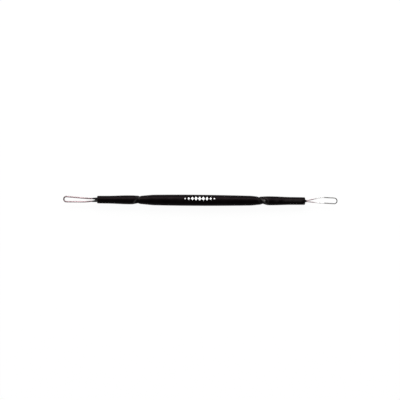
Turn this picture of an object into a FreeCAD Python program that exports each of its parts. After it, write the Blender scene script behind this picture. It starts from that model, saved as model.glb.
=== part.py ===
import FreeCAD, Part
import math
import os

import Sketcher
from FreeCAD import Placement, Rotation, Vector

# Double-ended blackhead extractor: a three-section black handle threaded on a steel rod,
# with a heavy wire loop at one end and a fine wire loop at the other.
# The tool lies along X with the middle of the handle at the origin, both loops lie flat
# in the XY plane, and Z is up.

# Driving sizes, in millimetres and degrees.
SIZES = {
    # Centre grip, from the middle of one waist to the middle of the other.
    # It is fuller towards the heavy loop, on whose side the belly is thickest.
    # Drops are taken off the belly's diameter.
    "grip_length": 62.4,
    "belly_diameter": 5.68,
    "belly_offset": 6.5,
    "crest_share": 0.86,
    "left_shoulder_length": 8.0,
    "left_shoulder_drop": 0.31,
    "left_shoulder_round": 1.2,
    "left_rim_drop": 1.68,
    "right_shoulder_length": 5.4,
    "right_shoulder_drop": 0.68,
    "right_shoulder_round": 1.0,
    "right_rim_drop": 1.76,
    # Waists: grip and sleeve meet at the bottom of a slanted notch.
    # The clock angle says which way a seam leans, counted round the tool from +Y.
    "waist_slant": 28.0,
    "left_waist_clock": 110.0,
    "right_waist_clock": 0.0,
    "brow_length": 1.1,
    "brow_depth": 0.3,
    # End sleeves: rim to swell, taper down to the nose, plain round nose.
    # The swell rises above the nose's diameter, and the rim drops from the swell's.
    "nose_diameter": 3.94,
    "left_nose_length": 4.1,
    "right_nose_length": 5.6,
    "nose_chamfer": 0.25,
    "taper_length": 12.8,
    "swell_offset": 4.1,
    "swell_rise": 0.64,
    "swell_round": 1.05,
    "sleeve_rim_drop": 0.5,
    # Steel rod through the grip and into both sleeves.
    "rod_diameter": 2.2,
    "rod_reach": 11.0,
    "rod_end_gap": 0.3,
    "rod_clearance": 0.02,
    # Resin that fixes the legs in the mouth of each sleeve.
    "resin_behind_legs": 0.8,
    "wick_skin": 0.08,
    "wick_length": 2.2,
    "wick_root": 1.0,
    # Both loops: legs sunk side by side in the resin.
    "leg_gap": 0.06,
    # Heavy loop.
    "left_wire_diameter": 0.74,
    "left_reach": 17.6,
    "left_tip_radius": 1.32,
    "left_neck": 0.1,
    "left_flare_angle": 5.2,
    "left_ease_bend": 40.0,
    "left_side_angle": 2.4,
    # Fine loop.
    "right_wire_diameter": 0.5,
    "right_reach": 16.7,
    "right_tip_radius": 1.46,
    "right_neck": 1.2,
    "right_flare_angle": 9.5,
    "right_ease_bend": 12.0,
    "right_side_angle": 0.4,
}

# The hole through all three handle sections, and the sleeves' greatest diameter.
BORE = "(Sizes.rod_diameter + 2 * Sizes.rod_clearance)"
SWELL = "(Sizes.nose_diameter + Sizes.swell_rise)"

doc = FreeCAD.newDocument("BlackheadExtractor")


def make_sheet():
    """Writes the driving sizes into a sheet, one named cell each."""
    sheet = doc.addObject("Spreadsheet::Sheet", "Sizes")
    for row, (alias, value) in enumerate(SIZES.items(), start=1):
        sheet.set(f"A{row}", alias.replace("_", " "))
        sheet.set(f"B{row}", str(value))
        sheet.setAlias(f"B{row}", alias)
    doc.recompute()
    return sheet


def new_body(label):
    """A body that carries its piece's name."""
    body = doc.addObject("PartDesign::Body", label)
    body.Label = label
    return body


def origin_plane(body, role):
    """One of the body's own three base planes."""
    return next(f for f in body.Origin.OriginFeatures if f.Role == role)


def new_sketch(body, name, role):
    """An empty sketch on one of the body's base planes."""
    sketch = body.newObject("Sketcher::SketchObject", name)
    sketch.AttachmentSupport = (origin_plane(body, role), [""])
    sketch.MapMode = "FlatFace"
    return sketch


def bind(sketch, constraint, name, expression):
    """Adds a dimension to a sketch under a name and ties it to the sheet."""
    sketch.addConstraint(constraint)
    sketch.renameConstraint(sketch.ConstraintCount - 1, name)
    sketch.setExpression(f"Constraints.{name}", expression)


def ring(body, name, station, diameter, offset="0"):
    """A circle across the axis at a station along X."""
    sketch = new_sketch(body, name, "YZ_Plane")
    sketch.setExpression("AttachmentOffset.Base.z", station)
    sketch.addGeometry(Part.Circle(Vector(0, 0, 0), Vector(0, 0, 1), 1.0))
    if offset == "0":
        sketch.addConstraint(Sketcher.Constraint("Coincident", 0, 3, -1, 1))
    else:
        sketch.addConstraint(Sketcher.Constraint("PointOnObject", 0, 3, -1))
        bind(sketch, Sketcher.Constraint("DistanceX", -1, 1, 0, 3, 1.0), "offset", offset)
    bind(sketch, Sketcher.Constraint("Diameter", 0, 2.0), "diameter", diameter)
    return sketch


def leaning_ring(body, name, station, diameter, slant, clock):
    """A circle about the axis whose plane leans by a slant, in a direction round the axis."""
    sketch = ring(body, name, station, diameter)
    hinge = f"vector(-sin({clock} * 1 deg); cos({clock} * 1 deg); 0)"
    sketch.setExpression(
        "AttachmentOffset",
        f"placement(vector(0; 0; {station}); rotation({hinge}; {slant}))",
    )
    return sketch


def arc(middle, radius, start, stop):
    """An arc run anticlockwise between two angles."""
    return Part.ArcOfCircle(Part.Circle(middle, Vector(0, 0, 1), radius), start, stop)


def arc_between(middle, first, last):
    """An arc run anticlockwise from one point to another round a centre."""
    start = math.atan2(first.y - middle.y, first.x - middle.x)
    stop = math.atan2(last.y - middle.y, last.x - middle.x)
    return arc(middle, middle.distanceToPoint(first), start, stop)


def join(sketch, kind, *ends):
    """Joins line ends in pairs, either touching or running on smoothly."""
    for end in ends:
        sketch.addConstraint(Sketcher.Constraint(kind, *end))


def spin(body, kind, name, profile):
    """Turns a half profile once round its own long axis, to add or to cut."""
    before = body.Shape.Volume if body.Tip else 0
    feature = body.newObject(f"PartDesign::{kind}", name)
    feature.Profile = profile
    feature.ReferenceAxis = (profile, ["H_Axis"])
    feature.Angle = 360
    doc.recompute()
    if abs(body.Shape.Volume - before) < 1e-3:
        raise RuntimeError(f"{name} changed nothing")
    return feature


def bore(body, name, station, length, diameter):
    """A round hole along X that starts at a station and runs towards +X."""
    before = body.Shape.Volume
    circle = ring(body, name + "_circle", station, diameter)
    pocket = body.newObject("PartDesign::Pocket", name)
    pocket.Profile = circle
    pocket.setExpression("Length", length)
    pocket.Reversed = True
    doc.recompute()
    if not body.Shape.Volume < before:
        raise RuntimeError(f"{name} cut nothing")
    return pocket


def rim_edges(feature, station):
    """The names of the edges that lie wholly at one station along X."""
    names = []
    for number, edge in enumerate(feature.Shape.Edges, start=1):
        box = edge.BoundBox
        if abs(box.XMin - station) < 1e-4 and abs(box.XMax - station) < 1e-4:
            names.append(f"Edge{number}")
    return names


# Slanted end at a waist: a leaning plane trims the piece, and its rim is bevelled back
# into a long low brow, so that two brows meet in a notch.
def trim_waist(body, name, station, clock, facing):
    before = body.Shape.Volume
    blade = leaning_ring(body, f"{name}_plane", station, "2 * Sizes.belly_diameter",
                         "Sizes.waist_slant", clock)
    trim = body.newObject("PartDesign::Pocket", f"{name}_trim")
    trim.Profile = blade
    trim.setExpression("Length", "2 * Sizes.belly_diameter")
    trim.Reversed = facing > 0
    doc.recompute()
    if not 0 < body.Shape.Volume < before:
        raise RuntimeError(f"{name} trimmed nothing")
    lean = blade.Placement.inverse()
    rims = [
        f"Edge{number}"
        for number, edge in enumerate(trim.Shape.Edges, start=1)
        if max(abs(lean.multVec(spot).z) for spot in edge.discretize(9)) < 1e-4
    ]
    brow = body.newObject("PartDesign::Chamfer", f"{name}_brow")
    brow.Base = (trim, rims)
    brow.ChamferType = "Two distances"
    brow.setExpression("Size", "Sizes.brow_length")
    brow.setExpression("Size2", "Sizes.brow_depth")
    doc.recompute()


def rounding(start, tangent, width, target):
    """The arc that leaves a point along its tangent and runs smoothly on to a line to a target.

    Gives the arc's centre and its end, where the line begins.
    """
    corner = start + tangent * (width / 2)
    line = (target - corner).normalize()
    turn = tangent.x * line.y - tangent.y * line.x
    radius = width / 2 / math.tan(tangent.getAngle(line) / 2)
    inward = Vector(tangent.y, -tangent.x, 0) * math.copysign(1, -turn)
    return start + inward * radius, corner + line * (width / 2)


# Centre grip: a slim spindle that falls away from a crowned belly in two long straight tapers.
# Each rounds over a shoulder into a steeper rim, which runs on past the waist for the slanted
# trim to cut.
def make_grip():
    body = new_body("centre_grip")
    belly = SIZES["belly_diameter"] / 2
    waist = SIZES["grip_length"] / 2
    end = waist + belly
    sketch = new_sketch(body, "grip_profile", "XY_Plane")
    top = Vector(-SIZES["belly_offset"], belly, 0)
    axis = sketch.addGeometry(Part.LineSegment(Vector(-end, 0, 0), Vector(end, 0, 0)))
    sketch.addConstraint(Sketcher.Constraint("PointOnObject", axis, 1, -1))
    sketch.addConstraint(Sketcher.Constraint("PointOnObject", axis, 2, -1))
    arches = {}
    for side, direction in (("left", -1), ("right", 1)):
        crown = waist - SIZES[f"{side}_shoulder_length"]
        shoulder = Vector(direction * crown, belly - SIZES[f"{side}_shoulder_drop"] / 2, 0)
        rim = Vector(direction * waist, belly - SIZES[f"{side}_rim_drop"] / 2, 0)
        crest = SIZES["crest_share"] * abs(shoulder.x - top.x)
        turn = SIZES[f"{side}_shoulder_round"]
        crown_centre, crest_end = rounding(top, Vector(direction, 0, 0), crest, shoulder)
        along_crown = (shoulder - crest_end).normalize()
        round_centre, cheek = rounding(shoulder, along_crown, turn, rim)
        along_rim = (rim - cheek).normalize()
        tail = rim + along_rim * (belly / abs(along_rim.x))
        arch, run, bend, cone, wall, mark = sketch.addGeometry([
            arc_between(crown_centre, *(crest_end, top)[::direction]),
            Part.LineSegment(*(crest_end, shoulder)[::direction]),
            arc_between(round_centre, *(cheek, shoulder)[::direction]),
            Part.LineSegment(*(cheek, tail)[::direction]),
            Part.LineSegment(tail, Vector(tail.x, 0, 0)),
            Part.Point(rim),
        ])
        sketch.toggleConstruction(mark)
        arches[side] = arch
        near, far = (2, 1) if direction > 0 else (1, 2)
        join(sketch, "Tangent", (arch, far, run, far), (run, near, bend, near),
             (bend, far, cone, far))
        join(sketch, "Coincident", (cone, near, wall, 1), (wall, 2, axis, near))
        sketch.addConstraint(Sketcher.Constraint("Vertical", arch, 3, arch, near))
        sketch.addConstraint(Sketcher.Constraint("PointOnObject", mark, 1, cone))
        sketch.addConstraint(Sketcher.Constraint("Vertical", wall))

        def outward(inner, outer, value):
            ends = (*inner, *outer) if direction > 0 else (*outer, *inner)
            return Sketcher.Constraint("DistanceX", *ends, value)

        middle = (-1, 1)
        bind(sketch, outward(middle, (bend, near), crown), f"{side}_crown",
             f"Sizes.grip_length / 2 - Sizes.{side}_shoulder_length")
        bind(sketch, Sketcher.Constraint("DistanceY", *middle, bend, near, shoulder.y),
             f"{side}_shoulder", f"(Sizes.belly_diameter - Sizes.{side}_shoulder_drop) / 2")
        bind(sketch, outward((arch, near), (arch, far), crest), f"{side}_crest",
             f"Sizes.crest_share * (Sizes.grip_length / 2 - Sizes.{side}_shoulder_length"
             f" + {direction} * Sizes.belly_offset)")
        bind(sketch, outward((bend, near), (bend, far), turn), f"{side}_round",
             f"Sizes.{side}_shoulder_round")
        bind(sketch, outward(middle, (mark, 1), waist), f"{side}_waist", "Sizes.grip_length / 2")
        bind(sketch, Sketcher.Constraint("DistanceY", *middle, mark, 1, rim.y),
             f"{side}_rim", f"(Sizes.belly_diameter - Sizes.{side}_rim_drop) / 2")
        bind(sketch, outward(middle, (wall, 2), end), f"{side}_end",
             "Sizes.grip_length / 2 + Sizes.belly_diameter / 2")
    join(sketch, "Coincident", (arches["left"], 1, arches["right"], 2))
    bind(sketch, Sketcher.Constraint("DistanceX", arches["right"], 2, -1, 1, -top.x),
         "belly_offset", "Sizes.belly_offset")
    bind(sketch, Sketcher.Constraint("DistanceY", -1, 1, arches["right"], 2, belly),
         "belly", "Sizes.belly_diameter / 2")
    spin(body, "Revolution", "spindle", sketch)
    for side, direction in (("left", -1), ("right", 1)):
        station = f"{direction} * Sizes.grip_length / 2"
        trim_waist(body, f"grip_{side}", station, f"Sizes.{side}_waist_clock", direction)
    bore(body, "rod_bore", "-Sizes.grip_length", "2 * Sizes.grip_length", BORE)
    return body


# End sleeve, drawn with the middle of its waist at its own origin and its mouth towards +X.
def make_sleeve(side, direction):
    body = new_body(f"{side}_sleeve")
    nose = SIZES["nose_diameter"] / 2
    swell = Vector(SIZES["swell_offset"], nose + SIZES["swell_rise"] / 2, 0)
    taper_end = Vector(swell.x + SIZES["taper_length"], nose, 0)
    mouth = Vector(taper_end.x + SIZES[f"{side}_nose_length"], nose, 0)

    # The rim rounds over into the swell, and the taper is two like bows, level at both ends.
    rim = Vector(0, swell.y - SIZES["sleeve_rim_drop"] / 2, 0)
    round_centre, cheek = rounding(swell, Vector(-1, 0, 0), SIZES["swell_round"], rim)
    along = (rim - cheek).normalize()
    tail = rim + along * (swell.y / abs(along.x))
    middle = (swell + taper_end) * 0.5
    half = Vector(middle.x - swell.x, swell.y - middle.y, 0)
    bow = (half.x ** 2 + half.y ** 2) / (2 * half.y)
    sketch = new_sketch(body, f"{side}_sleeve_profile", "XY_Plane")
    wall, cone, bend, bulge, hollow, flank, face, axis, mark = sketch.addGeometry([
        Part.LineSegment(Vector(tail.x, 0, 0), tail),
        Part.LineSegment(tail, cheek),
        arc_between(round_centre, swell, cheek),
        arc_between(Vector(swell.x, swell.y - bow, 0), middle, swell),
        arc_between(Vector(taper_end.x, nose + bow, 0), middle, taper_end),
        Part.LineSegment(taper_end, mouth),
        Part.LineSegment(mouth, Vector(mouth.x, 0, 0)),
        Part.LineSegment(Vector(mouth.x, 0, 0), Vector(tail.x, 0, 0)),
        Part.Point(rim),
    ])
    sketch.toggleConstruction(mark)
    join(sketch, "Coincident", (wall, 2, cone, 1), (flank, 2, face, 1), (face, 2, axis, 1),
         (axis, 2, wall, 1))
    join(sketch, "Tangent", (cone, 2, bend, 2), (bend, 1, bulge, 2), (bulge, 1, hollow, 1),
         (hollow, 2, flank, 1))
    sketch.addConstraint(Sketcher.Constraint("Vertical", wall))
    sketch.addConstraint(Sketcher.Constraint("Vertical", face))
    sketch.addConstraint(Sketcher.Constraint("Horizontal", flank))
    sketch.addConstraint(Sketcher.Constraint("Vertical", bend, 3, bend, 1))
    sketch.addConstraint(Sketcher.Constraint("Equal", bulge, hollow))
    sketch.addConstraint(Sketcher.Constraint("PointOnObject", axis, 1, -1))
    sketch.addConstraint(Sketcher.Constraint("PointOnObject", axis, 2, -1))
    sketch.addConstraint(Sketcher.Constraint("PointOnObject", mark, 1, -2))
    sketch.addConstraint(Sketcher.Constraint("PointOnObject", mark, 1, cone))
    bind(sketch, Sketcher.Constraint("DistanceY", -1, 1, mark, 1, rim.y),
         "rim", f"({SWELL} - Sizes.sleeve_rim_drop) / 2")
    bind(sketch, Sketcher.Constraint("DistanceX", bend, 2, bend, 1, SIZES["swell_round"]),
         "round", "Sizes.swell_round")
    bind(sketch, Sketcher.Constraint("DistanceX", wall, 1, -1, 1, swell.y),
         "tail", f"{SWELL} / 2")
    bind(sketch, Sketcher.Constraint("DistanceX", -1, 1, bend, 1, swell.x),
         "swell_offset", "Sizes.swell_offset")
    bind(sketch, Sketcher.Constraint("DistanceY", -1, 1, bend, 1, swell.y),
         "swell", f"{SWELL} / 2")
    bind(sketch, Sketcher.Constraint("DistanceX", bend, 1, flank, 1, SIZES["taper_length"]),
         "taper", "Sizes.taper_length")
    bind(sketch, Sketcher.Constraint("DistanceX", flank, 1, flank, 2, SIZES[f"{side}_nose_length"]),
         "nose_length", f"Sizes.{side}_nose_length")
    bind(sketch, Sketcher.Constraint("DistanceY", face, 2, face, 1, nose),
         "nose", "Sizes.nose_diameter / 2")
    turned = spin(body, "Revolution", f"{side}_turned", sketch)
    edge = body.newObject("PartDesign::Chamfer", f"{side}_nose_rim")
    edge.Base = (turned, rim_edges(turned, mouth.x))
    edge.setExpression("Size", "Sizes.nose_chamfer")
    doc.recompute()

    # The half-turn that places the left sleeve also mirrors the way its seam leans.
    clock = f"Sizes.{side}_waist_clock" if direction > 0 else f"(180 - Sizes.{side}_waist_clock)"
    trim_waist(body, f"{side}_sleeve", "0", clock, -1)

    # One straight hole takes the rod from the waist and the legs from the mouth.
    bore(
        body,
        f"{side}_bore",
        f"-{SWELL}",
        f"2 * {SWELL} + {sleeve_length(side)}",
        BORE,
    )
    place(body, "Sizes.grip_length / 2", direction)
    return body


def sleeve_length(side):
    """From the middle of the waist to the mouth."""
    return f"(Sizes.swell_offset + Sizes.taper_length + Sizes.{side}_nose_length)"


def resin_depth(side):
    """From the mouth back to just short of the rod."""
    return f"({sleeve_length(side)} - Sizes.rod_reach - Sizes.rod_end_gap)"


def leg_depth(side):
    """From the mouth back to the feet of the legs."""
    return f"({resin_depth(side)} - Sizes.resin_behind_legs)"


def worked_out(expression):
    """The present value of an expression in the sheet's sizes."""
    sheet = doc.getObject("Sizes")
    return float(sheet.evalExpression(expression.replace("Sizes.", "")))


def place(body, distance, direction):
    """Sets a piece at a distance along X, turned half round about Y on the -X side."""
    body.Placement = Placement(Vector(0, 0, 0), Rotation(Vector(0, 1, 0), 90 - 90 * direction))
    body.setExpression("Placement.Base.x", f"{direction} * ({distance})")


# Steel rod that carries the three handle sections.
def make_rod():
    body = new_body("core_rod")
    reach = "(Sizes.grip_length / 2 + Sizes.rod_reach)"
    bar = body.newObject("PartDesign::Pad", "bar")
    bar.Profile = ring(body, "bar_circle", f"-{reach}", "Sizes.rod_diameter")
    bar.setExpression("Length", f"2 * {reach}")
    doc.recompute()
    return body


def half_gap(side):
    """How far each sunk leg's centre line lies from the tool's axis."""
    return f"(Sizes.{side}_wire_diameter + Sizes.leg_gap) / 2"


# The first part of a leg's centre line, drawn with the mouth of the sleeve at the origin:
# the sunk leg, then the flare, which kinks outward. The flare is left open at its far end.
def leg_line(sketch, side, depth, flare_length):
    sunk = worked_out(depth)
    flare = math.radians(SIZES[f"{side}_flare_angle"])
    height = (SIZES[f"{side}_wire_diameter"] + SIZES["leg_gap"]) / 2
    kink = Vector(SIZES[f"{side}_neck"], height, 0)
    flare_end = kink + Vector(math.cos(flare), math.sin(flare), 0) * flare_length
    leg, run = sketch.addGeometry([
        Part.LineSegment(Vector(-sunk, height, 0), kink),
        Part.LineSegment(kink, flare_end),
    ])
    sketch.addConstraint(Sketcher.Constraint("Horizontal", leg))
    sketch.addConstraint(Sketcher.Constraint("Coincident", leg, 2, run, 1))
    bind(sketch, Sketcher.Constraint("DistanceX", leg, 1, -1, 1, sunk), "depth", depth)
    bind(sketch, Sketcher.Constraint("DistanceY", -1, 1, leg, 1, height),
         "half_gap", half_gap(side))
    bind(sketch, Sketcher.Constraint("DistanceX", -1, 1, leg, 2, SIZES[f"{side}_neck"]),
         "neck", f"Sizes.{side}_neck")
    bind(sketch, Sketcher.Constraint("Angle", run, flare),
         "flare_angle", f"Sizes.{side}_flare_angle")
    return run, kink


# Half of a loop's centre line: leg and flare, then easing bend, side and half the round tip.
def loop_line(body, side):
    flare = math.radians(SIZES[f"{side}_flare_angle"])
    slant = math.radians(SIZES[f"{side}_side_angle"])
    ease_radius = SIZES[f"{side}_ease_bend"]
    tip_radius = SIZES[f"{side}_tip_radius"]
    tip = SIZES[f"{side}_reach"] - SIZES[f"{side}_wire_diameter"] / 2
    sketch = new_sketch(body, f"{side}_centre_line", "XY_Plane")
    run, kink = leg_line(sketch, side, leg_depth(side), 1.0)

    # The flare and the side meet in one corner, which the easing bend rounds off.
    along_flare = Vector(math.cos(flare), math.sin(flare), 0)
    along_side = Vector(math.cos(slant), math.sin(slant), 0)
    tip_centre = Vector(tip - tip_radius, 0, 0)
    side_end = tip_centre + Vector(-math.sin(slant), math.cos(slant), 0) * tip_radius
    span = side_end - kink
    turn = along_flare.x * along_side.y - along_flare.y * along_side.x
    corner = kink + along_flare * ((span.x * along_side.y - span.y * along_side.x) / turn)
    setback = ease_radius * math.tan((flare - slant) / 2)
    flare_end = corner - along_flare * setback
    ease_centre = flare_end + Vector(math.sin(flare), -math.cos(flare), 0) * ease_radius
    sketch.moveGeometry(run, 2, flare_end)

    quarter = math.pi / 2
    ease, flank, nose = sketch.addGeometry([
        arc(ease_centre, ease_radius, quarter + slant, quarter + flare),
        Part.LineSegment(corner + along_side * setback, side_end),
        arc(tip_centre, tip_radius, 0, quarter + slant),
    ])
    join(sketch, "Tangent", (run, 2, ease, 2), (ease, 1, flank, 1), (flank, 2, nose, 2))
    sketch.addConstraint(Sketcher.Constraint("PointOnObject", nose, 3, -1))
    sketch.addConstraint(Sketcher.Constraint("PointOnObject", nose, 1, -1))
    bind(sketch, Sketcher.Constraint("Radius", ease, ease_radius),
         "ease_bend", f"Sizes.{side}_ease_bend")
    bind(sketch, Sketcher.Constraint("Angle", flank, slant),
         "side_angle", f"Sizes.{side}_side_angle")
    bind(sketch, Sketcher.Constraint("Radius", nose, tip_radius),
         "tip_radius", f"Sizes.{side}_tip_radius")
    bind(sketch, Sketcher.Constraint("DistanceX", -1, 1, nose, 1, tip),
         "tip", f"Sizes.{side}_reach - Sizes.{side}_wire_diameter / 2")
    doc.recompute()
    return sketch


# A round wire swept along one leg's line, then mirrored across the tool's axis.
def sweep_pair(body, name, line, side, start, diameter):
    section = ring(body, f"{name}_section", f"-{start}", diameter, offset=half_gap(side))
    half = body.newObject("PartDesign::AdditivePipe", f"{name}_half")
    half.Profile = section
    half.Spine = line
    half.Transition = "Right corner"
    doc.recompute()
    both = body.newObject("PartDesign::Mirrored", f"{name}_pair")
    both.Originals = [half]
    both.MirrorPlane = (origin_plane(body, "XZ_Plane"), [""])
    body.Tip = both
    doc.recompute()


# Wire loop, drawn with the mouth of its sleeve at its own origin.
def make_loop(side, direction):
    body = new_body(f"{side}_loop")
    line = loop_line(body, side)
    wire = f"Sizes.{side}_wire_diameter"
    sweep_pair(body, f"{side}_wire", line, side, leg_depth(side), wire)
    place(body, f"Sizes.grip_length / 2 + {sleeve_length(side)}", direction)
    return body


# Resin that fills the hole round both legs, flush with the mouth.
# Where it has wicked up the legs it clings to them as a thin skin.
def make_potting(side, direction, loop, wicks):
    blank = new_body(f"{side}_potting_blank")
    plug = blank.newObject("PartDesign::Pad", f"{side}_plug")
    plug.Profile = ring(blank, f"{side}_plug_circle", f"-{resin_depth(side)}", BORE)
    plug.setExpression("Length", resin_depth(side))
    doc.recompute()
    if wicks:
        line = new_sketch(blank, f"{side}_wick_line", "XY_Plane")
        run, _ = leg_line(line, side, "Sizes.wick_root", SIZES["wick_length"])
        bind(line, Sketcher.Constraint("DistanceX", -1, 1, run, 2, SIZES["wick_length"]),
             "wick_length", "Sizes.wick_length")
        skin = f"Sizes.{side}_wire_diameter + 2 * Sizes.wick_skin"
        sweep_pair(blank, f"{side}_wick", line, side, "Sizes.wick_root", skin)
    place(blank, f"Sizes.grip_length / 2 + {sleeve_length(side)}", direction)
    doc.recompute()
    potting = doc.addObject("Part::Cut", f"{side}_potting")
    potting.Label = f"{side}_potting"
    potting.Base = blank
    potting.Tool = loop
    doc.recompute()
    return potting


make_sheet()
left_loop = make_loop("left", -1)
right_loop = make_loop("right", 1)
pieces = [
    make_grip(),
    make_sleeve("left", -1),
    make_sleeve("right", 1),
    make_rod(),
    left_loop,
    right_loop,
    make_potting("left", -1, left_loop, wicks=True),
    make_potting("right", 1, right_loop, wicks=False),
]
doc.recompute()

# Nothing is written unless every object came out sound.
for item in doc.Objects:
    if "Invalid" in item.State or "Error" in item.State:
        raise RuntimeError(f"{item.Label} failed: {item.State}")
for piece in pieces:
    if piece.Shape.isNull() or not piece.Shape.isValid() or len(piece.Shape.Solids) != 1:
        raise RuntimeError(f"{piece.Label} is not one sound solid")

os.makedirs("parts", exist_ok=True)
for piece in pieces:
    piece.Shape.exportStep(f"parts/{piece.Label}.step")
    box = piece.Shape.BoundBox
    print(f"{piece.Label}: {piece.Shape.Volume:.1f} mm3, x {box.XMin:.2f} to {box.XMax:.2f}")
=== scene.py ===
# %% [markdown]
# # A double-ended blackhead extractor, dressed for a photograph
# The tool is a slim black moulded handle in three sections with a steel wire loop at either
# end. Its exact solids come from CAD as a fixed frame of loose triangles. In this lesson each
# visible solid gets a smooth, dense stand-in that is worked out from that frame, and a
# procedural finish. Everything is in metres: X runs along the handle, the loops lie in the
# XY plane and Z is up.

# %% Load the frame
import math

import bmesh
import bpy
import numpy as np
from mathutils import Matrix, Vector


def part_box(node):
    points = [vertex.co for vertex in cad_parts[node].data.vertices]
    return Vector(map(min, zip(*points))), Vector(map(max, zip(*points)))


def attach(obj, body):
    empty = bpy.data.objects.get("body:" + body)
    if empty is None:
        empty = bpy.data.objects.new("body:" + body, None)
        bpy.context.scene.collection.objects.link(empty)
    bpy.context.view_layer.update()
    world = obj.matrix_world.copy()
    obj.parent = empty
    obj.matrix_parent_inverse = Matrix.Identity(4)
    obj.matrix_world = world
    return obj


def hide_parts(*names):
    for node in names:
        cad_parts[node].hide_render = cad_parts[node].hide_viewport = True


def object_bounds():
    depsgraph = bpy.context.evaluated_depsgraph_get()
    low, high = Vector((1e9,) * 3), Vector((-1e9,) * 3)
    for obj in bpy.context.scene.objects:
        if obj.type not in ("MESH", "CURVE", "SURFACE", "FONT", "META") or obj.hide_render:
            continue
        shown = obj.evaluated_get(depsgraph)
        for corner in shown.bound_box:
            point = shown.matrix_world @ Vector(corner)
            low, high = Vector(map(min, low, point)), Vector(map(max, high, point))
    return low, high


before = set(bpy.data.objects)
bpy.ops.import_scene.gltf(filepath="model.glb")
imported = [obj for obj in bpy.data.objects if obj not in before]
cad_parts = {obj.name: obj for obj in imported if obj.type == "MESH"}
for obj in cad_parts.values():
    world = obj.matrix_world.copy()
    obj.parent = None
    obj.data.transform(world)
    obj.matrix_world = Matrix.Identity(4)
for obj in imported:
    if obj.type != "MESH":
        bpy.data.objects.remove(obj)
cad_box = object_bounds()
MM = 0.001
print("CAD box in mm:", [[round(c / MM, 2) for c in corner] for corner in cad_box])


# %% [markdown]
# ## Reading sizes off the frame
# A turned solid leaves rings of points in its triangle mesh: many points that share one X and
# one distance from the axis. Collecting these rings gives the true profile, so no size has to
# be typed in twice. The points where the hole comes out at a slanted waist all lie in one
# plane, and a least squares fit gives how that plane leans.

# %% Measuring helpers
SAME_RING = 2e-6
RING_POINTS = 16
HOLE_MARGIN = 1.02
OUTSIDE_MARGIN = 1.3


def node_points(node):
    """The CAD node's points as an array with one row each."""
    return np.array([v.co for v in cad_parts[node].data.vertices], float)


def turned_profile(node):
    """Stations along X and radii of the rings round a turned node, in order along X."""
    points = node_points(node)
    radius = np.hypot(points[:, 1], points[:, 2])
    key = np.round(np.column_stack([points[:, 0], radius]) / SAME_RING).astype(int)
    rings, count = np.unique(key, axis=0, return_counts=True)
    found = rings[count >= RING_POINTS] * SAME_RING
    return found[np.argsort(found[:, 0])]


def seam_plane(node, side):
    """Station and lean (dx/dy, dx/dz) of the slanted end of a node's hole on one side of X."""
    points = node_points(node)
    radius = np.hypot(points[:, 1], points[:, 2])
    mouth = points[(radius < radius.min() * HOLE_MARGIN) & (points[:, 0] * side > 0)]
    table = np.column_stack([np.ones(len(mouth)), mouth[:, 1], mouth[:, 2]])
    return np.linalg.lstsq(table, mouth[:, 0], rcond=None)[0]


SIDES = {"left": -1, "right": 1}
hole_radius = np.hypot(*node_points("centre_grip")[:, 1:].T).min()
seams = {side: seam_plane("centre_grip", sign) for side, sign in SIDES.items()}
for side, (middle, lean_y, lean_z) in seams.items():
    lean = math.degrees(math.atan(math.hypot(lean_y, lean_z)))
    print(f"{side} waist at {middle / MM:.2f} mm, seam leans {lean:.1f} degrees")
print(f"hole radius {hole_radius / MM:.2f} mm")


# %% [markdown]
# ## A smooth line through the rings
# Straight lines between rings would leave faint facets in the highlight. A cubic that passes
# through every ring, with slopes that never overshoot, keeps the swell and the tapers true
# and gives a reflection that flows.

# %% Smooth profile
def smooth_line(stations, values):
    """A cubic through points that rises and falls only where the points do."""
    step = np.diff(stations)
    slope = np.diff(values) / step
    inner = np.where(slope[:-1] * slope[1:] > 0,
                     2 * slope[:-1] * slope[1:] / (slope[:-1] + slope[1:] + 1e-30), 0)
    tangent = np.concatenate([slope[:1], inner, slope[-1:]])

    def line(x):
        i = np.clip(np.searchsorted(stations, x) - 1, 0, len(step) - 1)
        t = (x - stations[i]) / step[i]
        low, high = values[i], values[i + 1]
        ease = t * t * (3 - 2 * t)
        bow = step[i] * (t * (1 - t) ** 2 * tangent[i] - t * t * (1 - t) * tangent[i + 1])
        inside = low + (high - low) * ease + bow
        before = values[0] + (x - stations[0]) * tangent[0]
        after = values[-1] + (x - stations[-1]) * tangent[-1]
        return np.where(x < stations[0], before, np.where(x > stations[-1], after, inside))

    return line


def outer_line(node, inner, outer):
    """The smooth outer line of a node between two stations, without the rings of its hole."""
    rings = turned_profile(node)
    outside = rings[:, 1] > hole_radius * OUTSIDE_MARGIN
    kept = rings[outside & (rings[:, 0] > inner) & (rings[:, 0] < outer)]
    stations, first = np.unique(np.round(kept[:, 0], 6), return_index=True)
    low, high = stations[0] / MM, stations[-1] / MM
    print(f"{node}: {len(stations)} rings from {low:.1f} to {high:.1f} mm")
    return smooth_line(stations, kept[first, 1])


sleeve_mouth = {"left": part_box("left_sleeve")[0].x, "right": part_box("right_sleeve")[1].x}
NOSE_ROUND = {"left": 0.3 * MM, "right": 0.55 * MM}
lines = {
    "centre_grip": outer_line("centre_grip", -1, 1),
    "left_sleeve": outer_line("left_sleeve", sleeve_mouth["left"] + NOSE_ROUND["left"], 1),
    "right_sleeve": outer_line("right_sleeve", -1, sleeve_mouth["right"] - NOSE_ROUND["right"]),
}
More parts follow.
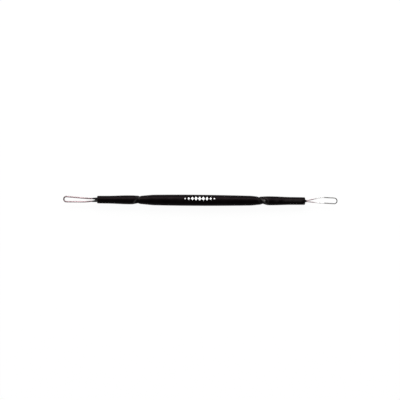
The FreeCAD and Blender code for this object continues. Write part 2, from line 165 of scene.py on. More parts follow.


# %% [markdown]
# ## The three black handle sections
# Each section is a turned, hollow moulding. A plain Screw modifier would make square ends, but
# the real sections meet on slanted seams at the bottom of two pinched waists. So the skin is
# built row by row in mesh code: every column of points runs from one slanted end to the other,
# and close to a seam the radius is drawn in to a low brow with a softened crest. A point
# attribute says how pale each place is: rubbed by fingers and cases, and painted highlights.

# %% Mesh code for a hollow turned section
COLUMNS = 144
BROW_LENGTH = 1.1 * MM
BROW_DEPTH = 0.3 * MM
BROW_UNEVEN = 1.1
BROW_DEEPER = {"left": 0.2, "right": 0.8}
CREST_SOFTNESS = 0.3
SEAM_ROUNDS = 8
turn = np.linspace(0, 2 * math.pi, COLUMNS, endpoint=False)
across = np.column_stack([np.cos(turn), np.sin(turn)])


def brow(distance, length=BROW_LENGTH, depth=BROW_DEPTH):
    """How far the skin is drawn in at a distance from a seam: a bevel with a soft crest."""
    t = np.maximum(distance, 0) / length
    soft = np.maximum(1 + CREST_SOFTNESS - t, 0) ** 2 / (4 * CREST_SOFTNESS)
    return depth * np.where(t < 1 - CREST_SOFTNESS, 1 - t, soft)


def seam_edge(side, rim):
    """Stations along X where a seam meets the skin and the hole, in every column."""
    station, lean_y, lean_z = seams[side]
    lean = across @ (lean_y, lean_z)
    x = np.full(COLUMNS, station)
    for _ in range(SEAM_ROUNDS):
        x = station + rim(x) * lean
    return x, station + hole_radius * lean


def bridge(rows, columns, base=0):
    """Quads between neighbouring rings of points that follow each other from a base index."""
    faces = []
    for row in range(rows - 1):
        below = base + row * columns
        above = below + columns
        for i in range(columns):
            j = (i + 1) % columns
            faces.append((below + i, below + j, above + j, above + i))
    return faces


def closing(rows, columns):
    """Quads from the last ring back to the first, which make a hollow section watertight."""
    last = (rows - 1) * columns
    return [(last + i, last + (i + 1) % columns, (i + 1) % columns, i) for i in range(columns)]


def ring_points(x, radius):
    """One ring of points from a station and a radius in every column."""
    x = np.broadcast_to(x, COLUMNS)
    radius = np.broadcast_to(radius, COLUMNS)
    return np.column_stack([x, radius[:, None] * across])


def turn_outward(mesh):
    """Face normals all outward, which the Raycast and the shading below rely on."""
    work = bmesh.new()
    work.from_mesh(mesh)
    bmesh.ops.recalc_face_normals(work, faces=work.faces)
    work.to_mesh(mesh)
    print(f"{mesh.name}: {work.calc_volume(signed=True) / MM ** 3:.1f} cubic mm")
    work.free()


def solid_from_rings(name, rings, wear_and_sheen):
    """A closed, smooth mesh object from a chain of rings, with its wear and painted sheen
    attribute.
    """
    mesh = bpy.data.meshes.new(name)
    faces = bridge(len(rings), COLUMNS) + closing(len(rings), COLUMNS)
    mesh.from_pydata(np.concatenate(rings).tolist(), [], faces)
    turn_outward(mesh)
    mesh.attributes.new("wear_and_sheen", "FLOAT", "POINT").data.foreach_set(
        "value", np.concatenate(wear_and_sheen).astype(np.float32))
    mesh.shade_smooth()
    piece = bpy.data.objects.new(name, mesh)
    bpy.context.scene.collection.objects.link(piece)
    return piece


# %% [markdown]
# ## Rows where they are needed
# The rows are set close together at the seams, where the brow bends quickly, and far apart on
# the long even taper. The share of the length at each row is the only list the builder needs.
# A painted highlight runs from the upper half of the grip's left end on over the sleeve.

# %% Grip between its two seams
ROW_FINE = 0.06 * MM
ROW_REACH = 2.4 * MM
GRIP_ROW = 0.6 * MM
RIM_WEAR = 0.12
RIM_WIDTH = 0.5 * MM
# The grip's streak is a painted highlight on the upper half of its left end.
GRIP_STREAK = dict(wear_and_sheen=0.5, width=0.4 * MM, lean=1.8 * MM, lean_from=0.3,
                   fade_from=-0.2, fade=2)


def row_shares(length, coarse):
    """Shares from 0 to 0.5 of a length: fine steps close to the seam, then coarse ones."""
    near = np.arange(0, ROW_REACH, ROW_FINE)
    rest = length / 2 - ROW_REACH
    far = np.linspace(ROW_REACH, length / 2, max(2, int(rest / coarse)))
    return np.concatenate([near, far]) / length


def band(distance, middle, width):
    """A soft band of wear: 1 in its middle, fading away on either side."""
    return np.exp(-((distance - middle) / width) ** 2)


def make_grip():
    line = lines["centre_grip"]
    start, start_hole = seam_edge("left", lambda x: line(x) - BROW_DEPTH)
    stop, stop_hole = seam_edge("right", lambda x: line(x) - BROW_DEPTH)
    half = row_shares(stop.mean() - start.mean(), GRIP_ROW)
    upper = across[:, 0]
    streak_at = GRIP_STREAK["lean"] * np.maximum(upper - GRIP_STREAK["lean_from"], 0)
    faded = np.clip(GRIP_STREAK["fade"] * (upper - GRIP_STREAK["fade_from"]), 0, 1)
    rings, wear_and_sheen = [], []
    for share in np.concatenate([half, 1 - half[-2::-1]]):
        x = start + (stop - start) * share
        from_seam = np.minimum(x - start, stop - x)
        rings.append(ring_points(x, line(x) - brow(from_seam)))
        rim = RIM_WEAR * band(from_seam, BROW_LENGTH, RIM_WIDTH)
        # The streak is a painted highlight on the grip's upper left end.
        streak = GRIP_STREAK["wear_and_sheen"] * band(x - start, streak_at, GRIP_STREAK["width"]) * faded
        wear_and_sheen.append(rim + streak)
    for x in (stop_hole, start_hole):
        rings.append(ring_points(x, hole_radius))
        wear_and_sheen.append(np.zeros(COLUMNS))
    return solid_from_rings("grip_skin", rings, wear_and_sheen)


grip = make_grip()
print(grip.name, len(grip.data.polygons), "faces")


# %% [markdown]
# ## Painted highlights on the sleeves
# Each sleeve is painted pale along a highlight streak that leans across its brow. The right one
# also has a painted glint, a painted highlight arc round it and a painted sheen on its front.
# All of this joins the wear in one attribute, as soft bands that add up, so no picture is needed.

# %% Painted highlights on the sleeves
# Painted highlight streaks, one leaning across each sleeve's brow.
STREAK = {"left": dict(lean=1.6 * MM, lean_from=0.15), "right": dict(lean=1.2 * MM, lean_from=0.9)}
STREAK_HIGHLIGHT = 0.4
STREAK_WIDTH = 0.45 * MM
FRONT = 1.5
# A painted glint, a painted highlight arc round it and a painted sheen band, on the right sleeve.
GLINT_AT = 1.8 * MM
GLINT_LENGTH = 0.35 * MM
GLINT_TURN = 0.2
GLINT_GIRTH = 2.2 * MM
ARC_HIGHLIGHT = 0.14
ARC_RADIUS = 1.9 * MM
ARC_WIDTH = 0.3 * MM
HAZE_SHEEN = 0.07
HAZE_TURN = 0.3
HAZE_START = 5 * MM
HAZE_RISE = 4 * MM


def painted_streak_highlight(side, from_seam):
    """Painted highlight streak on a sleeve, from each column's distance to the seam."""
    streak_at = STREAK[side]["lean"] * np.maximum(STREAK[side]["lean_from"] - across[:, 0], 0)
    return STREAK_HIGHLIGHT * band(from_seam, streak_at, STREAK_WIDTH)


def painted_glint_and_sheen(from_seam):
    """Painted glint, painted highlight arc and painted sheen, all FRONT radians round from +Y."""
    glint = band(from_seam, GLINT_AT, GLINT_LENGTH) * band(turn, FRONT, GLINT_TURN)
    from_glint = np.hypot(from_seam - GLINT_AT, (turn - FRONT) * GLINT_GIRTH)
    highlight_arc = band(from_glint, ARC_RADIUS, ARC_WIDTH) * (from_seam > GLINT_AT)
    haze = band(turn, FRONT, HAZE_TURN) * np.clip((from_seam - HAZE_START) / HAZE_RISE, 0, 1)
    return glint + ARC_HIGHLIGHT * highlight_arc + HAZE_SHEEN * haze


arc_end = (GLINT_AT + ARC_RADIUS) / MM
print(f"the dent's rim ends {arc_end:.1f} mm from the right seam")


# %% [markdown]
# ## The end sleeves
# A sleeve has one slanted end like the grip's. Its other end, the mouth, is square, with a
# rounded edge where a mould always leaves a small radius. The edge is a quarter circle of rows
# that ends in the flat face round the hole.

# %% Sleeves from seam to mouth
SHOULDER_SHIFT = {"left": (1.2, 0.0), "right": (1.2, 0.5)}
SHOULDER_REACH = 4.0 * MM
SLEEVE_ROW = 0.4 * MM
MOUTH_ROWS = 24
EDGE_ROWS = 9
EDGE_WEAR = 0.2
BROW_LEAST = 0.3


def make_sleeve(side):
    sign = SIDES[side]
    line = lines[f"{side}_sleeve"]
    mouth, edge = sleeve_mouth[side], NOSE_ROUND[side]
    upper = across[:, 0]
    reach = BROW_LENGTH * np.maximum(1 - BROW_UNEVEN * upper, BROW_LEAST)
    depth = BROW_DEPTH * (1 + BROW_DEEPER[side] * np.maximum(-upper, 0))
    shift = sign * MM * np.where(upper > 0, *SHOULDER_SHIFT[side]) * upper
    start, start_hole = seam_edge(side, lambda x: line(x + shift) - depth)
    stop = np.full(COLUMNS, mouth - sign * edge)
    half = row_shares(abs(mouth - start.mean()), SLEEVE_ROW)
    nose = float(line(np.array(mouth - sign * edge)))
    rings, wear_and_sheen = [], []
    for share in np.concatenate([half, half[-1] + np.linspace(0, 0.5, MOUTH_ROWS)[1:]]):
        x = start + (stop - start) * share
        from_seam = np.abs(x - start)
        near = np.exp(-(from_seam / SHOULDER_REACH) ** 2)
        rings.append(ring_points(x, line(x + shift * near) - brow(from_seam, reach, depth)))
        # The right sleeve also gets its painted glint, highlight arc and sheen band.
        glints = painted_glint_and_sheen(from_seam) if side == "right" else 0
        wear_and_sheen.append(painted_streak_highlight(side, from_seam) + glints)
    for angle in np.linspace(0, math.pi / 2, EDGE_ROWS)[1:]:
        x = mouth - sign * edge * (1 - math.sin(angle))
        rings.append(ring_points(x, nose - edge * (1 - math.cos(angle))))
        wear_and_sheen.append(np.full(COLUMNS, EDGE_WEAR * math.sin(2 * angle)))
    for x in (mouth, start_hole):
        rings.append(ring_points(x, hole_radius))
        wear_and_sheen.append(np.zeros(COLUMNS))
    return solid_from_rings(f"{side}_sleeve_skin", rings, wear_and_sheen)


sleeves = {side: make_sleeve(side) for side in SIDES}
for piece in sleeves.values():
    print(piece.name, len(piece.data.polygons), "faces")


# %% [markdown]
# ## The path of each wire loop
# A loop is one length of drawn wire: a leg, a flare, an almost straight side, a round tip, and
# the same again back to the other leg. Corner points with a bend radius at each describe it
# well. The wire's thickness, the reach and the width of the tip are read off the frame. Loops
# are bent by hand, so each one also bows a little to one side.

# %% Loop centre lines
BENDS = {
    # flare and side in degrees; half gap of the legs, neck, easing bend, bow and tip offset in mm;
    # bow_peak is the share of the loop's reach at which the bow is widest
    "left": dict(flare=5.2, side=2.4, gap=0.70, neck=3.4, ease=40.0,
                 bow=-0.24, bow_peak=0.36, tip=0.18),
    "right": dict(flare=9.5, side=0.4, gap=0.28, neck=1.2, ease=12.0,
                  bow=0.48, bow_peak=0.55, tip=0.2),
}
TIP_INSET = 0.22 * MM
TIP_POINTS = 40
NECK_BEND = 9.0 * MM
ARC_STEP = math.radians(2.5)
wire_radius = {side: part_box(f"{side}_loop")[1].z for side in SIDES}


def rounded(corners, radii):
    """Points of a line of corners, each inner corner turned by an arc of its own radius."""
    points = [corners[0]]
    for before, corner, after, radius in zip(corners, corners[1:], corners[2:], radii):
        a, b = (before - corner).normalized(), (after - corner).normalized()
        half = a.angle(b) / 2
        setback = radius / math.tan(half)
        centre = corner + (a + b).normalized() * (radius / math.sin(half))
        first, last = corner + a * setback - centre, corner + b * setback - centre
        count = max(2, int(first.angle(last) / ARC_STEP) + 2)
        for share in np.linspace(0, 1, count):
            points.append(centre + first.slerp(last, share) * radius)
    return points + [corners[-1]]


def heading(angle):
    """A unit vector in the loop's plane, at an angle from the axis."""
    return Vector((math.cos(angle), math.sin(angle), 0))


def half_loop(side):
    """Half a loop's centre line in the plane, with the mouth of the sleeve at zero."""
    bends, sign, radius = BENDS[side], SIDES[side], wire_radius[side]
    low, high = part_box(f"{side}_loop")
    ends = sorted(sign * (x - sleeve_mouth[side]) for x in (low.x, high.x))
    foot, tip = ends[0], ends[1] - radius - TIP_INSET
    tip_radius = high.y - radius
    gap = bends["gap"] * MM
    flare, slant = math.radians(bends["flare"]), math.radians(bends["side"])
    kink = Vector((bends["neck"] * MM, gap, 0))
    tip_centre = Vector((tip - tip_radius, 0, 0))
    side_end = tip_centre + heading(math.pi / 2 + slant) * tip_radius
    out, on = heading(flare), heading(slant)
    corner = kink + out * ((side_end - kink).cross(on).z / out.cross(on).z)
    corners = [Vector((foot, gap, 0)), kink, corner, side_end]
    line = rounded(corners, [NECK_BEND, bends["ease"] * MM])
    for angle in np.linspace(math.pi / 2 + slant, 0, TIP_POINTS)[1:]:
        line.append(tip_centre + heading(angle) * tip_radius)
    return line


def whole_loop(side):
    """The loop's centre line in the frame, from one foot round the tip to the other."""
    bends, sign = BENDS[side], SIDES[side]
    line = half_loop(side)
    line += [Vector((p.x, -p.y, 0)) for p in line[-2::-1]]
    reach = max(p.x for p in line)
    for p in line:
        share = max(p.x, 0) / reach
        shape = share ** (math.log(0.5) / math.log(bends["bow_peak"])) if share else 0
        p.y += MM * (bends["bow"] * math.sin(math.pi * shape) ** 2 + bends["tip"] * share ** 3)
    return [Vector((sleeve_mouth[side] + sign * p.x, p.y, 0)) for p in line]


paths = {side: whole_loop(side) for side in SIDES}
for side, path in paths.items():
    length = sum((b - a).length for a, b in zip(path, path[1:])) / MM
    gauge = 2 * wire_radius[side] / MM
    print(f"{side} loop: {length:.1f} mm of {gauge:.2f} mm wire, {len(path)} points")


# %% [markdown]
# ## Sweeping the wire with Geometry Nodes
# A wire follows a path, which is what Curve to Mesh is for. The tree resamples the path, stores
# how far along the wire each point lies (run) and where it is round the wire (around), and
# sweeps a circle. Both attributes reach the mesh, so the metal's drawing lines can follow the
# wire round its bends.

# %% The wire tree
def new_tree(name, *inputs):
    """An empty geometry tree with a geometry input, named inputs and a geometry output."""
    tree = bpy.data.node_groups.new(name, "GeometryNodeTree")
    tree.interface.new_socket("Geometry", in_out="INPUT", socket_type="NodeSocketGeometry")
    for label, kind in inputs:
        tree.interface.new_socket(label, in_out="INPUT", socket_type=kind)
    tree.interface.new_socket("Geometry", in_out="OUTPUT", socket_type="NodeSocketGeometry")
    return tree, tree.nodes.new("NodeGroupInput"), tree.nodes.new("NodeGroupOutput")


def node(tree, kind, settings=None, **inputs):
    """A node with its settings made, and inputs given by name as values or as sockets."""
    made = tree.nodes.new(kind)
    for key, value in (settings or {}).items():
        setattr(made, key, value)
    for key, value in inputs.items():
        spot = int(key[1:]) if key[0] == "_" and key[1:].isdigit() else key.replace("_", " ")
        if isinstance(value, bpy.types.NodeSocket):
            tree.links.new(value, made.inputs[spot])
        else:
            made.inputs[spot].default_value = value
    return made


def ending(tree, geometry, material, output):
    """Realize Instances and Set Material, which every tree ends in."""
    real = node(tree, "GeometryNodeRealizeInstances", Geometry=geometry)
    dressed = node(tree, "GeometryNodeSetMaterial", Geometry=real.outputs[0], Material=material)
    tree.links.new(dressed.outputs[0], output.inputs[0])


def wire_tree():
    tree, given, output = new_tree(
        "drawn_wire", ("Wire Radius", "NodeSocketFloat"), ("Spacing", "NodeSocketFloat"),
        ("Sides", "NodeSocketInt"), ("Finish", "NodeSocketMaterial"))
    path = node(tree, "GeometryNodeResampleCurve", {"mode": "LENGTH"},
                Curve=given.outputs["Geometry"], Length=given.outputs["Spacing"])
    along = node(tree, "GeometryNodeSplineParameter")
    marked = node(tree, "GeometryNodeStoreNamedAttribute",
                  {"data_type": "FLOAT", "domain": "POINT"},
                  Geometry=path.outputs[0], Name="run", Value=along.outputs["Length"])
    circle = node(tree, "GeometryNodeCurvePrimitiveCircle",
                  Resolution=given.outputs["Sides"], Radius=given.outputs["Wire Radius"])
    place = node(tree, "GeometryNodeInputPosition")
    unit = node(tree, "ShaderNodeVectorMath", {"operation": "NORMALIZE"}, _0=place.outputs[0])
    section = node(tree, "GeometryNodeStoreNamedAttribute",
                   {"data_type": "FLOAT_VECTOR", "domain": "POINT"},
                   Geometry=circle.outputs[0], Name="around", Value=unit.outputs[0])
    swept = node(tree, "GeometryNodeCurveToMesh", Curve=marked.outputs[0],
                 Profile_Curve=section.outputs[0], Fill_Caps=True)
    smooth = node(tree, "GeometryNodeSetShadeSmooth", Geometry=swept.outputs[0], Shade_Smooth=True)
    ending(tree, smooth.outputs[0], given.outputs["Finish"], output)
    return tree


drawn_wire = wire_tree()
print(drawn_wire.name, "has", len(drawn_wire.nodes), "nodes")


# %% [markdown]
# ## From a tree to a plain mesh
# A modifier's inputs are set through the sockets' identifiers. The evaluated result is copied
# into a plain mesh object and the helper object goes away, so what is left sits at the origin
# with its place in its points.

# %% Running a tree
def run_tree(name, tree, source, **values):
    """A plain mesh object made by a tree from a source object, which is then removed."""
    bpy.context.scene.collection.objects.link(source)
    modifier = source.modifiers.new("shape", "NODES")
    modifier.node_group = tree
    for item in tree.interface.items_tree:
        if item.in_out == "INPUT" and item.name.replace(" ", "_") in values:
            modifier[item.identifier] = values[item.name.replace(" ", "_")]
    bpy.context.view_layer.update()
    seen = source.evaluated_get(bpy.context.evaluated_depsgraph_get())
    mesh = bpy.data.meshes.new_from_object(seen)
    mesh.name = name
    mesh.materials.clear()
    mesh.materials.append(values["Finish"])
    turn_outward(mesh)
    piece = bpy.data.objects.new(name, mesh)
    bpy.context.scene.collection.objects.link(piece)
    bpy.data.objects.remove(source)
    return piece


def path_object(name, points):
    """A curve object with one open straight-edged spline through points."""
    curve = bpy.data.curves.new(name, "CURVE")
    curve.dimensions = "3D"
    spline = curve.splines.new("POLY")
    spline.points.add(len(points) - 1)
    for spot, p in zip(spline.points, points):
        spot.co = (*p, 1)
    return bpy.data.objects.new(name, curve)


# %% [markdown]
# ## Finishes
# Each finish is a node material on Object coordinates or on the attributes made above, so it
# stays put on the piece from every side. Small helpers start a material with one Principled
# shader, spread a noise between two limits, mix two colours and link the results.

# %% Material helpers
def new_finish(name, **sockets):
    """A material with a Principled shader whose even settings are given by name."""
    material = bpy.data.materials.new(name)
    material.use_nodes = True
    tree = material.node_tree
    tree.nodes.clear()
    shader = tree.nodes.new("ShaderNodeBsdfPrincipled")
    output = tree.nodes.new("ShaderNodeOutputMaterial")
    tree.links.new(shader.outputs[0], output.inputs["Surface"])
    for key, value in sockets.items():
        shader.inputs[key.replace("_", " ")].default_value = value
    return material, tree, shader


def noise(tree, place, scale, detail=3.0, stretch=None):
    """A noise at a scale, on stretched coordinates if asked."""
    if stretch:
        place = node(tree, "ShaderNodeMapping", Vector=place, Scale=stretch).outputs[0]
    return node(tree, "ShaderNodeTexNoise", Vector=place, Scale=scale, Detail=detail).outputs["Fac"]


def between(tree, value, low, high, to_low, to_high):
    """A value spread from one range to another and kept inside it."""
    made = node(tree, "ShaderNodeMapRange", {"clamp": True}, Value=value,
                From_Min=low, From_Max=high, To_Min=to_low, To_Max=to_high)
    return made.outputs[0]


def mixed(tree, share, first, second):
    """A colour between two, by a share."""
    made = node(tree, "ShaderNodeMix", {"data_type": "RGBA"}, _0=share, _6=first, _7=second)
    return made.outputs[2]


def maths(tree, operation, *values):
    """The result of a Math node on sockets or numbers."""
    spots = {f"_{i}": value for i, value in enumerate(values)}
    return node(tree, "ShaderNodeMath", {"operation": operation}, **spots).outputs[0]


def relief(tree, height, strength, depth):
    """A normal that makes a height look raised by a depth."""
    return node(tree, "ShaderNodeBump", Height=height, Strength=strength, Distance=depth).outputs[0]


def on_piece(tree):
    """Object coordinates, which stay put on the piece."""
    return node(tree, "ShaderNodeTexCoord").outputs["Object"]


def join(tree, shader, **sockets):
    """Links from sockets to a shader's inputs, given by name."""
    for key, socket in sockets.items():
        tree.links.new(socket, shader.inputs[key.replace("_", " ")])


def attribute(tree, name):
    """The outputs of a node that reads a named attribute."""
    return node(tree, "ShaderNodeAttribute", {"attribute_name": name}).outputs


def rosy(level):
    """A faintly pink grey, as on steel that has been heated and in the sheen of the handle."""
    return (level * 1.28, level * 0.92, level * 0.97, 1.0)


def grey(level, warmth=0.0):
    """A neutral colour, with a little more red than blue if it is warm."""
    return (level * (1 + warmth), level, level * (1 - warmth), 1.0)


# %% [markdown]
# ## Black satin plastic
# The handle is moulded in black plastic with a soft satin skin. Three things make it read as
# plastic: a grain much finer than a fingertip, a sheen that is a little uneven where hands have
# polished it, and crests and rims rubbed slightly paler. The same pale colour paints highlights
# on the waists and the right sleeve. Fine scratches run along the tool.

# %% Handle finish
GRAIN_DEPTH = 0.02 * MM


def handle_plastic():
    material, tree, shader = new_finish("handle_plastic_satin", Specular_IOR_Level=0.037,
                                        Specular_Tint=(1.0, 0.72, 0.82, 1.0))
    place = on_piece(tree)
    cloud = between(tree, noise(tree, place, 260.0), 0.35, 0.7, 0.0, 1.0)
    body = mixed(tree, cloud, rosy(0.0010), rosy(0.0022))
    # The pale mix: real wear at rims and edges, and painted highlights at the waists and right
    # sleeve.
    wear_and_sheen_share = maths(tree, "MULTIPLY", attribute(tree, "wear_and_sheen")["Fac"], cloud)
    scratch = between(tree, noise(tree, place, 1.0, 2.0, (70, 5200, 5200)), 0.66, 0.72, 0.0, 0.10)
    sheen = between(tree, noise(tree, place, 420.0, 5.0), 0.3, 0.7, 0.36, 0.46)
    join(tree, shader,
         Base_Color=mixed(tree, wear_and_sheen_share, body, grey(0.12, 0.04)),
         Roughness=maths(tree, "ADD", sheen, scratch),
         Normal=relief(tree, noise(tree, place, 9000.0, 2.0), 0.5, GRAIN_DEPTH))
    return material


plastic = handle_plastic()
print("made", plastic.name)


# %% [markdown]
# ## Drawn stainless wire
# Drawn wire carries fine lines along its length. The noise is stretched along run and turns
# with around, so the lines follow the loop. Towards the handle the wire's colour turns darker,
# and the working tip is rubbed to a satin grey.

# %% Wire finish
DRAWING_DEPTH = 0.006 * MM


def loop_wire(name, shine, film, handle_end_tone, tip, tip_tone):
    """Shiny wire, darker towards the handle and at a worn tip, each between two stations along X.
    """
    material, tree, shader = new_finish(name, Metallic=1.0)
    around = node(tree, "ShaderNodeSeparateXYZ", Vector=attribute(tree, "around")["Vector"])
    along = maths(tree, "MULTIPLY", attribute(tree, "run")["Fac"], 350.0)
    place = node(tree, "ShaderNodeCombineXYZ", X=along, Y=around.outputs[0], Z=around.outputs[1])
    drawn = noise(tree, place.outputs[0], 9.0, 4.0)
    bright = mixed(tree, between(tree, drawn, 0.35, 0.65, 0.0, 1.0), *shine)
    x = node(tree, "ShaderNodeSeparateXYZ", Vector=on_piece(tree)).outputs[0]
    # The colour turns darker towards the handle, between the two film stations.
    darker_near_handle = mixed(tree, between(tree, x, *film, 0.0, 1.0), bright, handle_end_tone)
    join(tree, shader,
         Base_Color=mixed(tree, between(tree, x, *tip, 0.0, 1.0), darker_near_handle, tip_tone),
         Roughness=between(tree, drawn, 0.3, 0.7, 0.16, 0.34),
         Normal=relief(tree, drawn, 0.3, DRAWING_DEPTH))
    return material


def station(side, share):
    """Station along X at a share of the way from a sleeve's mouth to its loop's tip."""
    low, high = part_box(f"{side}_loop")
    tip = low.x if SIDES[side] < 0 else high.x
    return sleeve_mouth[side] + (tip - sleeve_mouth[side]) * share


def stations_at(side, start, stop):
    """Two stations, from shares of the way along a loop."""
    return station(side, start), station(side, stop)


wire_finish = {
    "left": loop_wire("loop_wire_heavy", (rosy(0.20), rosy(0.27)),
                      stations_at("left", 0.40, 0.25), rosy(0.13),
                      stations_at("left", 0.7, 0.95), rosy(0.14)),
    "right": loop_wire("loop_wire_fine", (grey(0.52, 0.01), grey(0.58, 0.01)),
                       stations_at("right", 0.36, 0.24), rosy(0.17),
                       stations_at("right", 0.55, 0.60), grey(0.12, 0.02)),
}
print("made", [finish.name for finish in wire_finish.values()])

# %% Both loops
WIRE_STEP = 0.12 * MM
WIRE_SIDES = 24
loops = {}
for side, path in paths.items():
    loops[side] = run_tree(f"{side}_loop_wire", drawn_wire, path_object("path", path),
                           Wire_Radius=wire_radius[side], Spacing=WIRE_STEP, Sides=WIRE_SIDES,
                           Finish=wire_finish[side])
    print(loops[side].name, len(loops[side].data.polygons), "faces")


# %% [markdown]
# ## Resin in the mouths
# The legs are set in black resin that fills the end of each hole. It has crept up the legs as a
# tapering skin, farthest at the heavy loop, where it fills the fork between the legs and leaves
# only a film on their outer sides. Liquid shapes have no sharp inner corners, so the plug and
# the skins are made as overlapping tubes and a voxel Remesh melts them into one.

# %% Resin shapes
SKIN_REACH = {"left": 2.6 * MM, "right": 0.8 * MM}
SKIN_THICK = {"left": 0.32 * MM, "right": 0.22 * MM}
SKIN_TAPER = {"left": 1.6, "right": 1}
SKIN_INWARD = {"left": 0.34, "right": 0.0}
FILM_THICK = {"left": 0.06 * MM, "right": 0.0}
FILM_TAPER = 0.5
SKIN_ROOT = 0.6 * MM
SKIN_STEP = 0.1 * MM
FACE_RISE = (0.06 * MM, 0.1 * MM)
FACE_SHARE = 0.6
PINHOLE = 0.02 * MM
leg_across = across[::6]


def plug_rings(side):
    """Rings of the plug, from its inner end to a slightly raised face at the mouth."""
    sign, mouth = SIDES[side], sleeve_mouth[side]
    low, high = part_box(f"{side}_potting")
    inner = high.x if sign < 0 else low.x
    stations = [inner, inner, mouth, *(mouth + sign * rise for rise in FACE_RISE)]
    radii = [PINHOLE, hole_radius, hole_radius, hole_radius * FACE_SHARE, PINHOLE]
    return [ring_points(x, r) for x, r in zip(stations, radii)]


def skin_rings(side, leg):
    """Rings of the skin on one leg, from inside the plug out to where it has thinned to nothing."""
    sign, mouth, reach = SIDES[side], sleeve_mouth[side], SKIN_REACH[side]
    x = np.array([sign * (p.x - mouth) for p in leg])
    y = np.array([p.y for p in leg])
    rings = []
    for out in np.arange(-SKIN_ROOT, reach, SKIN_STEP):
        left_over = 1 - np.clip(out / reach, 0, 1)
        fillet = left_over ** SKIN_TAPER[side]
        film = FILM_THICK[side] * left_over ** FILM_TAPER
        r = wire_radius[side] + film + SKIN_THICK[side] * fillet
        inward = 1 - SKIN_INWARD[side] * fillet
        middle = (mouth + sign * out, np.interp(out, x, y) * inward, 0)
        rings.append(middle + r * np.column_stack([np.zeros(len(leg_across)), leg_across]))
    return rings


def add_tube(points, faces, rings):
    """A tube through rings with both ends closed, added to lists of points and faces."""
    base, columns = len(points), len(rings[0])
    points += np.concatenate(rings).tolist()
    faces += bridge(len(rings), columns, base)
    faces.append(tuple(range(base, base + columns))[::-1])
    faces.append(tuple(range(len(points) - columns, len(points))))


# %% [markdown]
# ## Melting the resin into one
# Remesh and Smooth are modifiers. The shape is read back after both, and the rough object goes.

# %% Resin pieces
RESIN_VOXEL = 0.055 * MM
SMOOTH_ROUNDS = 4


def make_resin(side, finish):
    name, path = f"{side}_resin", paths[side]
    half = len(path) // 2
    points, faces = [], []
    add_tube(points, faces, plug_rings(side))
    for leg in (path[:half + 1], path[half:][::-1]):
        add_tube(points, faces, skin_rings(side, leg))
    mesh = bpy.data.meshes.new(name)
    mesh.from_pydata(points, [], faces)
    mesh.validate()
    rough = bpy.data.objects.new("rough_resin", mesh)
    bpy.context.scene.collection.objects.link(rough)
    melt = rough.modifiers.new("melt", "REMESH")
    melt.mode = "VOXEL"
    melt.voxel_size = RESIN_VOXEL
    rough.modifiers.new("soften", "SMOOTH").iterations = SMOOTH_ROUNDS
    bpy.context.view_layer.update()
    seen = rough.evaluated_get(bpy.context.evaluated_depsgraph_get())
    result = bpy.data.meshes.new_from_object(seen)
    bpy.data.objects.remove(rough)
    result.name = name
    result.shade_smooth()
    result.materials.clear()
    result.materials.append(finish)
    piece = bpy.data.objects.new(name, result)
    bpy.context.scene.collection.objects.link(piece)
    return piece


# %% [markdown]
# ## Glossy black resin and plain steel
# Cured resin is smoother and deeper than the plastic round it, with slow waves in its surface.
# The core rod is plain drawn bar, hidden in the handle. It keeps its CAD mesh and only gets a
# finish with drawing lines along X.

# %% Resin and rod finishes
WAVE_DEPTH = 0.02 * MM


def cured_resin():
    material, tree, shader = new_finish("cured_resin", Specular_IOR_Level=0.12)
    place = on_piece(tree)
    cloud = noise(tree, place, 900.0, 3.0)
    join(tree, shader,
         Base_Color=mixed(tree, cloud, grey(0.0025, 0.05), grey(0.007, 0.05)),
         Roughness=between(tree, cloud, 0.3, 0.7, 0.10, 0.24),
         Normal=relief(tree, noise(tree, place, 2200.0, 1.0), 0.3, WAVE_DEPTH))
    return material


def rod_steel():
    material, tree, shader = new_finish("rod_steel_drawn", Metallic=1.0)
    drawn = noise(tree, on_piece(tree), 1.0, 3.0, (120, 6000, 6000))
    join(tree, shader,
         Base_Color=mixed(tree, drawn, grey(0.42), grey(0.56)),
         Roughness=between(tree, drawn, 0.3, 0.7, 0.25, 0.42))
    return material


resin_finish = cured_resin()
resins = {side: make_resin(side, resin_finish) for side in SIDES}
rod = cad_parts["core_rod"]
rod.data.materials.clear()
rod.data.materials.append(rod_steel())
for piece in resins.values():
    print(piece.name, len(piece.data.polygons), "faces")


# %% [markdown]
# ## A plain printed ornament
# The belly carries a white print where the fingers rest: a row of plain lozenges that grow
# towards the middle. They repeat along a line and hug a curved surface, so Geometry Nodes make
# them: a line of points, a small grid shaped to a lozenge on each, and a Raycast that drops
# every point of the film on to the grip.

# %% One lozenge
LOZENGE_ROWS = (13, 9)
LOZENGE_POINT = 0.02
SMALLEST = 0.45


def lozenge_tile(tree, length, width):
    """A flat grid whose columns shorten towards both ends, so that its outline is a lozenge."""
    across_x, across_y = LOZENGE_ROWS
    tile = node(tree, "GeometryNodeMeshGrid", Size_X=1.0, Size_Y=1.0,
                Vertices_X=across_x, Vertices_Y=across_y)
    position = node(tree, "GeometryNodeInputPosition").outputs[0]
    spot = node(tree, "ShaderNodeSeparateXYZ", Vector=position)
    off = maths(tree, "ABSOLUTE", spot.outputs[0])
    narrow = maths(tree, "MULTIPLY_ADD", off, -2 * (1 - LOZENGE_POINT), 1.0)
    height = maths(tree, "MULTIPLY", spot.outputs[1], narrow)
    place = node(tree, "ShaderNodeCombineXYZ", X=maths(tree, "MULTIPLY", spot.outputs[0], length),
                 Y=maths(tree, "MULTIPLY", height, width))
    return node(tree, "GeometryNodeSetPosition", Geometry=tile.outputs[0],
                Position=place.outputs[0]).outputs[0]


